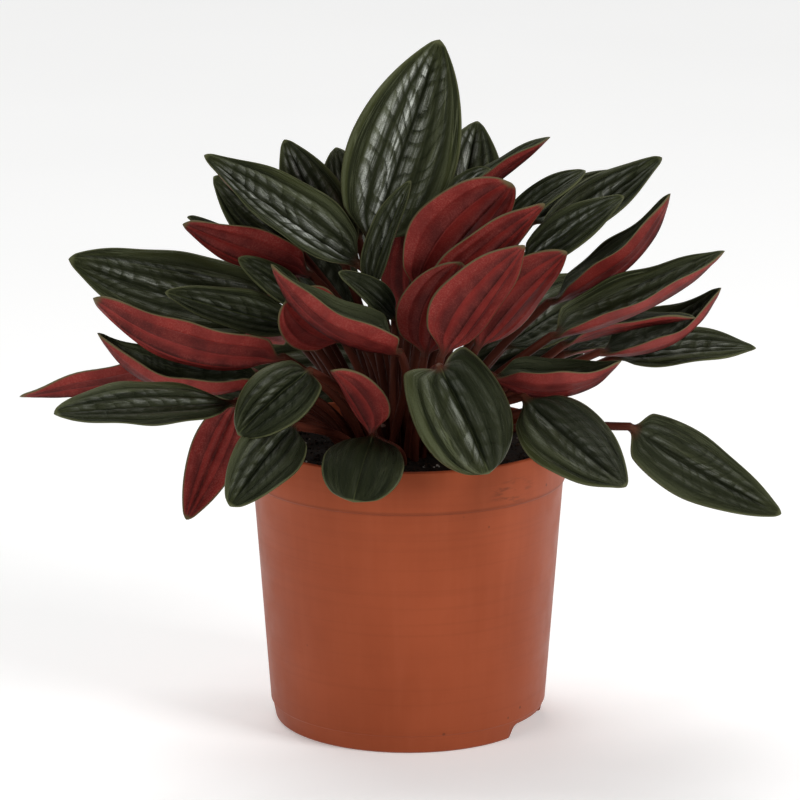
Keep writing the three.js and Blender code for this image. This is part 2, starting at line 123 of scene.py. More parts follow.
def addNode(tree, kind, sockets=None, **settings):
    node = tree.nodes.new("ShaderNode" + kind)
    for key, value in settings.items():
        setattr(node, key, value)
    for key, value in (sockets or {}).items():
        socket = node.inputs[key]
        if isinstance(value, bpy.types.NodeSocket):
            tree.links.new(value, socket)
        else:
            socket.default_value = value
    return node


def reckon(tree, operation, a, b=0.0):
    return addNode(tree, "Math", {0: a, 1: b}, operation=operation).outputs[0]


def times(tree, value, *others):
    for other in others:
        value = reckon(tree, "MULTIPLY", value, other)
    return value


def highest(tree, value, *others):
    for other in others:
        value = reckon(tree, "MAXIMUM", value, other)
    return value


def between(tree, value, low, high, start=0.0, end=1.0):
    node = addNode(tree, "MapRange", {"Value": value, "From Min": low, "From Max": high,
                                      "To Min": start, "To Max": end},
                   interpolation_type="SMOOTHSTEP")
    return node.outputs["Result"]


def fading(tree, value, low, high):
    # 1 up to low, 0 from high on
    return between(tree, value, low, high, 1.0, 0.0)


def layColours(tree, ground, *layers):
    # each layer is a share and the colour that covers that share of the ones below
    for share, colour in layers:
        node = addNode(tree, "Mix", {"Factor": share, 6: ground, 7: colour}, data_type="RGBA")
        ground = node.outputs[2]
    return ground


def grain(tree, vector, scale, detail=3.0, roughness=0.55):
    node = addNode(tree, "TexNoise", {"Vector": vector, "Scale": scale, "Detail": detail,
                                      "Roughness": roughness})
    return node.outputs["Fac"]


def stretched(tree, vector, scales, detail, roughness=0.55):
    drawn = addNode(tree, "Mapping", {"Vector": vector, "Scale": scales})
    return grain(tree, drawn.outputs[0], 1.0, detail, roughness)


def layBumps(tree, *bumps):
    # each bump is a height, its depth and its strength, and lies on the one before
    normal = None
    for height, depth, strength in bumps:
        sockets = {"Height": height, "Distance": depth * toMetres, "Strength": strength}
        if normal is not None:
            sockets["Normal"] = normal
        normal = addNode(tree, "Bump", sockets).outputs["Normal"]
    return normal


def dress(tree, colour, roughness, normal, shine=0.5, tint=rgb(1, 1, 1)):
    sockets = tree.nodes["Principled BSDF"].inputs
    tree.links.new(colour, sockets["Base Color"])
    tree.links.new(roughness, sockets["Roughness"])
    tree.links.new(normal, sockets["Normal"])
    sockets["Specular IOR Level"].default_value = shine
    sockets["Specular Tint"].default_value = tint


def readLayer(tree, name, output="Fac"):
    return addNode(tree, "Attribute", attribute_name=name).outputs[output]


def readPlace(tree):
    return addNode(tree, "TexCoord").outputs["Object"]


# small helpers for the shapes
def ease(x):
    x = min(1.0, max(0.0, x))
    return x * x * (3 - 2 * x)


def mix(a, b, share):
    return a + (b - a) * share


def turnOnWheel(outline, steps):
    # an outline of (radius, height) points is turned once round the upright axis
    bm = bmesh.new()
    verts = [bm.verts.new((r, 0, z)) for r, z in outline]
    edges = [bm.edges.new(pair) for pair in zip(verts, verts[1:])]
    bmesh.ops.spin(bm, geom=verts + edges, cent=(0, 0, 0), axis=(0, 0, 1), angle=2 * pi,
                   steps=steps, use_merge=True)
    bmesh.ops.remove_doubles(bm, verts=bm.verts, dist=0.001)
    bmesh.ops.recalc_face_normals(bm, faces=bm.faces)
    return bm


def softenEdges(bm, width, sharpest):
    edges = [edge for edge in bm.edges
             if len(edge.link_faces) == 2 and edge.calc_face_angle() > radians(sharpest)]
    bmesh.ops.bevel(bm, geom=edges, offset=width, offset_type="OFFSET", affect="EDGES",
                    segments=2, profile=0.5, material=-1)


def makeMesh(name, bm):
    bmesh.ops.scale(bm, vec=(toMetres,) * 3, verts=bm.verts)
    mesh = bpy.data.meshes.new(name)
    bm.to_mesh(mesh)
    bm.free()
    piece = bpy.data.objects.new(name, mesh)
    bpy.context.scene.collection.objects.link(piece)
    return piece


def finishPiece(name, bm, finishes, replaced=None):
    for face in bm.faces:
        face.smooth = True
    piece = makeMesh(name, bm)
    for finish in finishes:
        piece.data.materials.append(finish)
    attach(piece, "root")
    if replaced:
        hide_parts(replaced)
    return piece


def leafAt(base, tip, face, width, bow, cup, **more):
    return dict(base=base, tip=tip, face=face, width=width, bow=bow, cup=cup, **more)


# base is where the stalk meets the blade, tip the point and face the way the upper side looks;
# width is the breadth, bow the curve of the midrib and cup how many degrees each half turns up
# (never 0). Some leaves have more: sway curves the midrib sideways, lobe is how far the base
# reaches back, peak the widest place, round a blunter tip, and via draws the stalk aside
leaves = {
    "top_leaf_1": leafAt(
        (-15, 8, 181), (12, 28, 258), (0.1, -1, 0.3), 44, 2, 18, sway=0.3, peak=0.42),
    "top_leaf_2": leafAt((-17, -4, 176), (-77, 8, 217), (0.1, -0.6, 0.8), 33, -2, 45),
    "top_leaf_3": leafAt(
        (-24, 20, 172), (-47.5, 32, 219), (0, -1, 0.4), 27, 1, 20, via=(0, 6, 0)),
    "top_leaf_4": leafAt((-19, 36, 179), (-28, 50, 213), (0, -1, 0.4), 24, 2, 20),
    "top_leaf_5": leafAt((18, 34, 181), (27, 52, 223), (0, -1, 0.3), 31, 2, 20),
    "top_leaf_6": leafAt((9, 14, 190), (54, 18, 222.2), (-0.6, 0, 0.8), 24, -0.5, 45),
    "top_leaf_7": leafAt((16, 2, 197), (31, 0, 213), (0, -0.5, 1), 14, 2, 50),
    "top_leaf_8": leafAt((-14, -10, 169), (1, -8, 210), (-0.6, -0.8, 0.2), 16, 2, 50),
    "centre_leaf_1": leafAt((3, -18, 167), (38, -24, 212), (-0.4, 1, 0.5), 39, 3, 25, peak=0.48),
    "centre_leaf_2": leafAt((7, -26, 164), (50, -34, 206), (-0.3, 1, 0.6), 23, 1, 25),
    "centre_leaf_3": leafAt((6, -32, 148), (19, -38, 185), (-0.3, 1, 0.3), 30, 4, 25),
    "centre_leaf_4": leafAt((12, -40, 150), (42, -52, 194), (-0.4, 1, 0.5), 31, 2, 25),
    "centre_leaf_5": leafAt((25, -28, 150), (58, -38, 189), (-0.4, 1, 0.5), 32, 3, 25),
    "right_leaf_1": leafAt(
        (50, 18, 181), (97, 26, 213), (-0.2, -1, 0.9), 22, -0.5, 20, via=(0, -3, 0)),
    "right_leaf_2": leafAt((37, 4, 191), (67, 8, 211), (-0.2, -0.7, 1), 15, 1, 20),
    "right_leaf_3": leafAt((43, 0, 176), (81, -2, 203), (-0.2, -1, 0.8), 19, 1, 20),
    "right_leaf_4": leafAt((47, 30, 187), (82, 44, 205), (0, -0.8, 1), 19, -2, 20),
    "right_leaf_5": leafAt((53, -5, 163), (98, -7, 205), (-0.6, 0, 0.7), 34, -9, 60),
    "right_leaf_6": leafAt(
        (53, -26, 154.5), (117, -27, 187), (-0.3, -0.24, 1), 36, -6, 58, lobe=4),
    "right_leaf_7": leafAt((72, -6, 144), (118.5, 2, 167.2), (-0.1, -0.2, 1), 35, -10, 58),
    "right_leaf_8": leafAt((58, -12, 148), (108, -10, 158), (-0.1, 0, 1), 18, 2, 40),
    "right_leaf_9": leafAt((78, 6, 139), (133, 10, 142), (0, -0.5, 1), 24, 2, 10),
    "front_leaf_1": leafAt(
        (11, -62, 151), (29, -74, 114), (0.2, -1, 0.3), 36.5, 5, -30,
        lobe=12, peak=0.46, round=0.62),
    "front_leaf_2": leafAt(
        (-13, -55, 123), (-20, -80, 105), (0, -0.7, 0.8), 30, 4, -20,
        peak=0.5, round=0.5, via=(6, 0, -3)),
    "front_leaf_3": leafAt(
        (-36, -48.5, 146.5), (-62, -64, 126), (0, -1, 0.7), 24.5, 4, -20,
        lobe=4, peak=0.45, round=0.75),
    "front_leaf_4": leafAt(
        (-42, -51, 126.5), (-64.3, -85, 104.8), (-0.1, -1, 0.4), 24.5, 4, -20, round=0.85),
    "front_leaf_5": leafAt((-64, -22, 129), (-83, -34, 86), (0.2, 1, 0.3), 20, 4, 10),
    "front_leaf_6": leafAt((30, -40, 143), (79, -34, 147), (0, 0, 1), 37, -9.5, 68),
    "front_leaf_7": leafAt((42, -52, 137.5), (77.2, -98, 115.4), (0.2, -1, 0.4), 30, -1.5, -20),
    "front_leaf_8": leafAt(
        (83, -20, 118.5), (141.5, -15, 83.1), (0.1, -1, 0.5), 26.5, -4.5, -10,
        lobe=3, peak=0.38, round=1.02),
    "front_leaf_9": leafAt((49, -34, 129), (66, -44, 117), (0.2, -1, 0.5), 20, 2, 20),
    "left_leaf_1": leafAt(
        (-63, -42, 132.5), (-125.8, -95, 141.3), (0.1, -0.6, 0.8), 23, 1, 10,
        peak=0.5, round=0.95),
    "left_leaf_2": leafAt((-75, -6, 135.5), (-145, -28, 131.8), (0.2, 0.6, 0.9), 28, -1, 40),
    "left_leaf_3": leafAt(
        (-52, -24, 138.5), (-115, -34, 157.5), (0.2, -0.3, 1), 36, -15, 78, lobe=3),
    "left_leaf_4": leafAt(
        (-46.5, -28, 147), (-116, -38, 171.5), (0.4, 0.9, 0.8), 31, -12, 30,
        lobe=4, peak=0.44, round=0.8),
    "left_leaf_5": leafAt(
        (-48, 6, 158), (-128, -2, 179), (0.2, -1, 0.8), 36, -9.5, 15, round=0.8),
    "left_leaf_6": leafAt((-41, -8, 154), (-91, -16, 169), (0.2, -1, 0.9), 20, -1, 20),
    "left_leaf_7": leafAt(
        (-41, 1, 161.5), (-64, -5, 180), (0.2, -1, 0.6), 14, 2, 20, via=(6, -8, 0)),
    "left_leaf_8": leafAt(
        (-37, 8.4, 171), (-85, 0.3, 192), (0.4, 0.9, 0.7), 30, -4, 30, round=0.85),
    "left_leaf_9": leafAt(
        (-44, 15.4, 169), (-84, 13, 192.3), (0.3, -0.6, 1), 9, 2, 30, via=(0, 2, 0)),
    "left_leaf_10": leafAt((-41, 25.5, 175.8), (-74.5, 27, 205.5), (0.1, -1, 0.5), 28, 2, 20),
    "middle_leaf_1": leafAt(
        (-3, -38, 151), (-50, -52, 187), (0.4, 0, 1), 40, -9, 66, lobe=4, peak=0.32, round=1),
    "middle_leaf_2": leafAt((-24, -22, 152), (-45, -46, 172), (-0.7, 0.7, 0.3), 27, 3, 25),
    "middle_leaf_3": leafAt(
        (-5, -16, 159), (-26, -22, 178), (0.3, -0.8, 0.8), 14, 2, 20, via=(-6, 0, 0)),
    "middle_leaf_4": leafAt((-13, -42, 121), (-28, -54, 148), (0.5, 0.8, 0.6), 24, 2, 50),
    "rear_leaf_1": leafAt((-30, 40, 160), (-70, 95, 170), (0.2, -0.6, 1), 30, 4, 20),
    "rear_leaf_2": leafAt((-5, 48, 165), (-15, 100, 172), (0, 0, 1), 30, 4, 20),
    "rear_leaf_3": leafAt((22, 48, 162), (40, 98, 165), (0, 0, 1), 30, 4, 20),
    "rear_leaf_4": leafAt((36, 26, 138), (84, 62, 158), (-0.3, -1, 0.6), 30, 4, 20),
    "rear_leaf_5": leafAt((60, 30, 135), (120, 60, 128), (0, 0, 1), 28, 4, 20),
    "rear_leaf_6": leafAt((-44, 28, 143), (-105, 75, 151), (0.2, 1, 0.3), 28, 4, 20),
    "rear_leaf_7": leafAt((-60, 22, 130), (-125, 45, 118), (0, 0, 1), 28, 4, 20),
    "rear_leaf_8": leafAt((-4, 68, 119.5), (-84, 73, 112.5), (0, -1, 0.4), 34, 4, 20),
    "rear_leaf_9": leafAt((22, 56, 120), (78, 66, 140), (0, -1, 0.4), 32, 4, 20),
    "rear_leaf_10": leafAt((-22, 22, 150), (-58, 58, 192), (0.2, -1, 0.5), 30, 2, 20),
    "rear_leaf_11": leafAt((2, 18, 150), (4, 28, 198), (0, 1, 0.2), 28, 2, 20),
}
stalks = {
    "radius": 1.6,
    "depth": 7,              # how deep the feet stand in the soil
    "centre": (-2, 0),
    "spread": 24,            # how far out the stalk of a level leaf stands
    "spacing": 4.6,          # the least between two feet
    "settling": 200,         # the most turns in which the feet push apart
    "clearance": 4.3,        # the least between the middles of two stalks
    "stemClearance": 6.4,
    "yielding": 40,          # the most turns in which stalks give way
    "stations": 20,
    "handle": 0.35,
    "lean": 0.1,
    "rows": 16,
}
blades = {
    "thickness": 1.1,
    "thinning": 4,           # half width under which a blade gets thinner
    "fold": 6,
    "rise": 0.7,
    "shoulder": 0.14,
    "step": 0.02,
    "rows": 76,
    "crowding": 0.45,        # how much closer the rows are at both ends
    "across": 48,            # faces from margin to margin on each side
    "bluntTip": 1.2,
    "veins": (0, 0.36, 0.71, 1.02),    # shares of the half width
    "quilting": 1.3,         # how far the skin swells between the veins
    "panelSwell": (1, 0.85, 0.4),      # from the midrib outwards
    "fullQuilt": 11,         # half width from which a blade is fully quilted
    "quiltEnds": 0.2,        # share of the length over which it fades at each end
    "puckers": 0.8,          # how high the pleats beside the midrib stand
    "panelPuckers": (1, 0.5, 0.1),
    "puckerSpacing": 7.2,
    "puckerClimb": 1.35,
    "puckerCrest": 0.35,     # where in its spacing a pleat is highest
    "puckerWander": 1.5,
    "midribDepth": 0.6,
    "midribWidth": 0.9,
    "surface": {             # quilting, puckers and painted sheen share of each group of leaves
        "top": (1.0, 1.0, 1.0),
        "centre": (0.9, 0.5, 0.3),
        "right": (1.0, 0.8, 0.6),
        "left": (1.0, 0.8, 0.6),
        "middle": (0.8, 0.5, 0.4),
        "rear": (1.0, 0.8, 0.4),
        "front": (1.1, 0.6, 0.22),
    },
    "moods": ((0.8, 1.1), (0.5, 1.2), (0.4, 1.3)),    # how far each leaf may differ in them
    "ownSurface": {          # leaves that stand out from their group
        "top_leaf_1": (1.0, 1.15, 1.2),
        "top_leaf_2": (1.0, 1.0, 1.1),
        "right_leaf_9": (1.0, 0.7, 0.5),
        "front_leaf_1": (1.35, 0.25, 0.24),
        "front_leaf_2": (0.7, 0.15, 0.0),
        "front_leaf_8": (1.0, 0.6, 0.25),
    },
    "ridges": 0.6,           # height of the long ridges beside the margins
    "ridgeLines": 6,
    "sheenLampSide": (-0.5, -0.5, 0.7),   # the halves turned this way get more painted sheen, the others less sheen and more painted shade
    "sheenLampShare": 0.6,
    "pillow": 0.45,
    "ripple": 0.6,
    "rippleLength": 4.5,
    "apart": 40,             # how far apart two leaves lie in the noise
    "stalkGrain": 60,        # length of a stalk in the streaks' measure
    "seed": 4,
}


def rootPlaces():
    # the further a leaf leans, the further out its stalk stands; crowded stalks push apart
    centre = complex(*stalks["centre"])
    places = []
    for leaf in leaves.values():
        x, y, z = leaf["base"]
        reach = complex(x, y) - centre
        lean = atan2(abs(reach), z - soil["level"]) / (pi / 2)
        places.append(reach * (stalks["spread"] * lean / abs(reach)) + centre)
    stems = [complex(*place) for place in crown["places"]]
    for turn in range(stalks["settling"]):
        moved = False
        for i in range(len(places)):
            for j in range(i):
                away = places[i] - places[j]
                short = stalks["spacing"] - abs(away)
                if short > 0:
                    moved = True
                    places[i] += away / abs(away) * short * 0.5
                    places[j] -= away / abs(away) * short * 0.5
            for stem in stems:
                away = places[i] - stem
                short = stalks["stemClearance"] - abs(away)
                if short > 0:
                    moved = True
                    places[i] += away / abs(away) * short
        if not moved:
            break
    return places


def leafLine(leaf):
    # the blade's base, which way its upper side looks, its length and the line of its midrib
    base = Vector(leaf["base"])
    along = Vector(leaf["tip"]) - base
    axis = along.normalized()
    face = Vector(leaf["face"])
    face = (face - axis * face.dot(axis)).normalized()
    side = axis.cross(face)

    def midrib(t):
        arch = 4 * t * (1 - t)
        return base + along * t + face * (leaf["bow"] * arch) + side * (
            leaf.get("sway", 0) * arch)
    return base, face, along.length, midrib


def stalkHandles(leaf, place, bend):
    # the four points that the stalk's curve is drawn through and towards
    base, face, length, midrib = leafLine(leaf)
    foot = Vector((place.real, place.imag, soil["level"] - stalks["depth"]))
    reach = base - foot
    handle = stalks["handle"] * reach.length
    leaving = (midrib(blades["step"]) - base).normalized()
    arriving = reach.normalized().lerp(leaving, stalks["handle"]).normalized()
    rising = foot + Vector((0, 0, handle)) + reach * stalks["lean"] + bend
    return foot, rising, base - arriving * handle + bend, base


def alongCurve(handles, s):
    # a point of the stalk's curve, and the way that the curve goes there
    a, b, c, d = handles
    r = 1 - s
    point = a * r**3 + b * (3 * r * r * s) + c * (3 * r * s * s) + d * s**3
    slope = (b - a) * (r * r) + (c - b) * (2 * r * s) + (d - c) * (s * s)
    return point, slope.normalized()


def sidewaysMoves(points, starts, ends, clearance):
    # for each line of points: the level move that takes it out of the others' clearance
    count = len(points)
    spans = ends - starts
    size = (spans**2).sum(-1)
    gaps = points[:, :, None, None, :] - starts[None, None]
    share = np.clip((gaps * spans[None, None]).sum(-1) / size[None, None], 0, 1)
    gaps = gaps - share[..., None] * spans[None, None]
    length = np.sqrt((gaps**2).sum(-1))
    length = length.transpose(0, 2, 1, 3).reshape(count, len(starts), -1)
    gaps = gaps.transpose(0, 2, 1, 3, 4).reshape(count, len(starts), -1, 3)
    nearest = length.argmin(-1)
    rows, columns = np.indices(nearest.shape)
    closest = length[rows, columns, nearest]
    away = gaps[rows, columns, nearest]
    away[..., 2] = 0
    level = np.maximum(np.sqrt((away**2).sum(-1)), 1e-9)
    short = np.maximum(clearance - closest, 0)
    return away * (short / level)[..., None]


def stalkBends(places):
    # stalks that would cross give way sideways until each has its clearance
    bends = np.array([leaf.get("via", (0, 0, 0)) for leaf in leaves.values()], float)
    top = soil["level"] + soil["mound"] + crown["height"]
    stemStarts = np.array([[(x, y, soil["level"])] for x, y in crown["places"]], float)
    stemEnds = np.array([[(x, y, top)] for x, y in crown["places"]], float)
    s = np.linspace(0, 1, stalks["stations"] + 1)[:, None]
    r = 1 - s
    for turn in range(stalks["yielding"]):
        lines = []
        for leaf, place, bend in zip(leaves.values(), places, bends):
            a, b, c, d = (np.array(p) for p in stalkHandles(leaf, place, Vector(bend)))
            lines.append(r**3 * a + 3 * r**2 * s * b + 3 * r * s**2 * c + s**3 * d)
        lines = np.array(lines)
        inner = lines[:, 1:-1]
        moves = sidewaysMoves(inner, lines[:, :-1], lines[:, 1:], stalks["clearance"])
        for i in range(len(lines)):
            moves[i, i] = 0
        stemMoves = sidewaysMoves(inner, stemStarts, stemEnds, stalks["stemClearance"])
        change = moves.sum(1) - moves.sum(0) + stemMoves.sum(1)
        if not np.abs(change).max() > 0:
            break
        bends = bends + change
    return [Vector(bend) for bend in bends]


def leafRows(leaf, place, bend):
    # the rows from the stalk's foot to the tip: each has its middle, the way forward, the way
    # the upper side looks and its share of the blade's length, which is below 0 on the stalk
    base, upper, length, midrib = leafLine(leaf)
    rows = []
    for i in range(1, blades["rows"]):
        share = i / blades["rows"]
        t = mix(share, 0.5 - 0.5 * cos(pi * share), blades["crowding"])
        step = blades["step"]
        before = min(t, 1 - step) - step
        forward = (midrib(before + 2 * step) - midrib(before)).normalized()
        face = (upper - forward * upper.dot(forward)).normalized()
        rows.append([midrib(t), forward, face, t])
    handles = stalkHandles(leaf, place, bend)
    for i in range(stalks["rows"] - 1, -1, -1):
        s = i / (stalks["rows"] - 1)
        centre, forward = alongCurve(handles, s)
        if i == stalks["rows"] - 1:
            forward = (forward + rows[0][1]).normalized()
        face = rows[0][2]
        face = (face - forward * face.dot(forward)).normalized()
        rows.insert(0, [centre, forward, face, s - 1])
    return rows, midrib(1), length


def breadth(t, leaf):
    peak = leaf.get("peak", 0.4)
    rise = leaf["round"] * peak / (1 - peak) if "round" in leaf else blades["rise"]
    fall = rise * (1 - peak) / peak
    top = peak**rise * (1 - peak)**fall
    return t**rise * (1 - t)**fall / top


def quiltHeight(t, u, half, length, tone, quilted, puckered):
    # the skin sinks along the veins and swells between them, in pleats beside the midrib
    a = abs(u)
    veins, ends, crest = blades["veins"], blades["quiltEnds"], blades["puckerCrest"]
    far = blades["apart"] * tone
    panel = 0
    while panel < 2 and a > veins[panel + 1]:
        panel += 1
    p = (a - veins[panel]) / (veins[panel + 1] - veins[panel])
    arch = sin(pi * min(1, max(0, p)))
    swell = blades["quilting"] * (arch**0.6 - 0.6) * blades["panelSwell"][panel] * quilted
    swell -= blades["midribDepth"] * exp(-(a * half / blades["midribWidth"])**2) * quilted
    wander = noise.noise(Vector((u * half * 0.1, t * length * 0.06, far)))
    phase = (t * length - blades["puckerClimb"] * a * half) / blades["puckerSpacing"]
    phase += blades["puckerWander"] * wander + (0.4 if u > 0 else 0) + 7 * tone
    saw = phase - floor(phase)
    pleat = ease(saw / crest) * (1 - ease((saw - crest) / (1 - crest))) - crest
    pleat *= blades["puckers"] * arch**0.7 * blades["panelPuckers"][panel] * puckered
    fade = ease(t / ends) * (1 - ease((t - (1 - ends)) / ends))
    fade *= min(1, half / blades["fullQuilt"])
    ridge = noise.noise(Vector((blades["ridgeLines"] * u, 1.4 * t, far + 9)))
    ridge *= ease((a - 0.3) / 0.3)
    swell += blades["ridges"] * ridge
    return swell * fade, pleat * fade, phase, ridge


def skinPoint(leaf, row, u, upper, length, tone, quilted, puckered):
    # a point of the skin, its half width there, and where it is among pleats and ridges
    centre, forward, face, t = row
    side = forward.cross(face)
    sheet = 1 if upper else -1
    angle = pi / 2 * u
    radius = stalks["radius"]
    stalkX, stalkY = radius * sin(angle), radius * cos(angle) * sheet
    if t <= 0:
        return centre + side * stalkX + face * stalkY, radius, 0, 0
    half = 0.5 * leaf["width"] * breadth(t, leaf)
    end = min(1, (1 - t) * length / (2 * blades["bluntTip"]))
    half += blades["bluntTip"] * ease(2 * t - 1)
    half *= sqrt(1 - (1 - end)**2)
    fold = radians(blades["fold"])
    cup = radians(leaf["cup"])
    turn = fold + cup * abs(u)
    bladeX = (sin(turn) - sin(fold)) / cup
    rise = (cos(fold) - cos(turn)) / cup
    taper = min(1, half / blades["thinning"])
    skin = blades["thickness"] / 2 * sqrt(max(0, 1 - u**4)) * sheet * taper
    swell, pleat, phase, ridge = quiltHeight(t, u, half, length, tone, quilted, puckered)
    sway = sin(t * length / blades["rippleLength"] + 9 * tone + (2 if u > 0 else 0))
    sway *= blades["ripple"] * u * u
    pillow = blades["pillow"] * sin(pi * abs(u)) * sin(pi * t)
    bladeY = half * rise + skin + (pillow + sway) * taper + swell + pleat * (1 if upper else 0.2)
    spread = ease(t / blades["shoulder"])
    back = leaf.get("lobe", 0) * u * u * (1 - ease(t / 0.5)) * spread
    sign = 1 if u > 0 else -1
    point = centre + side * mix(stalkX, half * bladeX * sign, spread)
    point = point + face * mix(stalkY, bladeY, spread) - forward * back
    return point, mix(radius, half, spread), phase, ridge


def facingSheenLamp(row, u):
    # from -1 to 1, highest where this half of the blade is turned to the lamp side that its
    # painted sheen comes from
    turned = row[1].cross(row[2]).dot(Vector(blades["sheenLampSide"]))
    return max(-1, min(1, 2.5 * turned)) * max(-1, min(1, 10 * u))


def growLeaf(leaf, place, bend, tone, surface):
    # a ball is drawn out into the leaf: one pole is the stalk's foot, the other the tip
    quilted, puckered, paintedSheenShare = surface
    rows, tip, length = leafRows(leaf, place, bend)
    around = 2 * blades["across"]
    turns = len(rows) + 1
    bm = bmesh.new()
    bmesh.ops.create_uvsphere(bm, u_segments=around, v_segments=turns, radius=1)
    layers = bm.verts.layers
    names = ("along", "across", "halfWidth", "pleats", "ridges", "tone", "puckered", "paintedSheenShare")
    along, across, halfWidth, pleats, ridges, toneLayer, puckerLayer, paintedSheenLayer = [
        layers.float.new(name) for name in names]
    spot = layers.float_vector.new("leafSpot")
    far = blades["apart"] * tone
    sheets = {}
    for vert in bm.verts:
        down = round(acos(max(-1, min(1, -vert.co.z))) / pi * turns)
        column = round(atan2(vert.co.y, vert.co.x) / (2 * pi) * around) % around
        vert[toneLayer], vert[puckerLayer] = tone, puckered
        sheets[vert] = sin(2 * pi * column / around)
        if down == 0:
            vert.co = rows[0][0] - rows[0][1] * stalks["radius"]
            vert[along], vert[halfWidth] = -1, stalks["radius"]
        elif down == turns:
            vert.co = tip
            vert[along], vert[halfWidth] = 1, 0.2
            vert[spot] = (0, length, far)
        else:
            row = rows[down - 1]
            upper = column <= blades["across"]
            turn = column if upper else around - column
            u = 1 - 2 * turn / blades["across"]
            vert.co, wide, phase, ridge = skinPoint(leaf, row, u, upper, length, tone,
                                                    quilted, puckered)
            vert[along], vert[across] = row[3], u
            # painted light: more painted sheen on the half turned to the lamp side, less on the
            # other
            vert[paintedSheenLayer] = paintedSheenShare * (1 + blades["sheenLampShare"] * facingSheenLamp(row, u))
            vert[halfWidth], vert[pleats], vert[ridges] = wide, phase, ridge
            reach = row[3] * (length if row[3] > 0 else blades["stalkGrain"])
            vert[spot] = (u * wide, reach, far)
    bmesh.ops.recalc_face_normals(bm, faces=bm.faces)
    for face in bm.faces:
        if sum(vert[along] for vert in face.verts) < 0:
            face.material_index = 2
        elif sum(sheets[vert] for vert in face.verts) < 0:
            face.material_index = 1
    return bm


# upper side: dark green, sunken at the veins with painted shade in them, and a painted silvery
# sheen (a painted highlight) on the swellings beside the midrib; underside: wine red with dark
# veins and painted shade beside them; both have a pale olive edge
leafColours = {
    "darkValleyAndShade": rgb(0.003, 0.005, 0.002),
    "green": rgb(0.013, 0.0158, 0.0045),
    "olive": rgb(0.031, 0.0355, 0.0105),
    # the colour of the painted highlight that stands in for the gloss beside the midrib
    "paintedSheen": rgb(0.53, 0.55, 0.5),
    "vein": rgb(0.05, 0.058, 0.024),
    "crest": rgb(0.085, 0.095, 0.05),
    "edge": rgb(0.08, 0.085, 0.038),
    "wine": rgb(0.19, 0.0145, 0.0115),
    "wineDeepAndShade": rgb(0.07, 0.005, 0.005),
    "wineBloom": rgb(0.3, 0.085, 0.068),
    "wineVein": rgb(0.022, 0.002, 0.002),
    "wineEdge": rgb(0.10, 0.08, 0.036),
    "stalk": rgb(0.095, 0.024, 0.013),
    "stalkDark": rgb(0.024, 0.0045, 0.003),
}
leafLook = {
    "veinWidths": (1.2, 1.5, 1.3),     # of the midrib and the two side veins of a half
    "hollowWidths": (3.5, 3.5, 3.0),
    "ribWidths": (0.75, 0.55),         # the dark veins of the underside
    "edgeWidth": 0.9,
    "paintedSheenBands": ((0.0, 0.12, 0.35), (0.36, 0.5, 0.7)),    # start, brightest, stop
    "outerPaintedSheen": 0.55,
    "streaks": (1.9, 0.13, 1),         # how fine they are across and along the leaf
    "washes": (0.55, 0.06, 1),
    "paleLines": (8.0, 1.3),
    "stalkStreaks": (1.6, 0.09, 1),
    "stalkRibs": (2.5, 0.2, 1),
    "upperSpecks": 2.6,
    "underSpecks": 2.2,
    "upperShine": (0.18, rgb(0.9, 0.95, 0.58)),
    "underShine": (0.2, rgb(1.0, 0.8, 0.72)),
    "stalkShine": (0.12, rgb(1.0, 0.6, 0.5)),
}


def veinLine(tree, vein, wide):
    # 1 on this vein, fading to 0 at so many millimetres beside it
    away = reckon(tree, "ABSOLUTE", readLayer(tree, "across"))
    away = reckon(tree, "ABSOLUTE", reckon(tree, "SUBTRACT", away, blades["veins"][vein]))
    return fading(tree, times(tree, away, readLayer(tree, "halfWidth")), 0.0, wide)


def edgeLine(tree):
    out = reckon(tree, "ABSOLUTE", readLayer(tree, "across"))
    inward = times(tree, reckon(tree, "SUBTRACT", 1.0, out), readLayer(tree, "halfWidth"))
    return fading(tree, inward, 0.3 * leafLook["edgeWidth"], leafLook["edgeWidth"])


def bandAcross(tree, out, start, top, stop):
    # 1 at top, fading to 0 at start and at stop
    return times(tree, between(tree, out, start, top), fading(tree, out, top, stop))


def stalkColour(tree):
    streaks = stretched(tree, readLayer(tree, "leafSpot", "Vector"), leafLook["stalkStreaks"], 4)
    return layColours(tree, leafColours["stalkDark"], (streaks, leafColours["stalk"]))


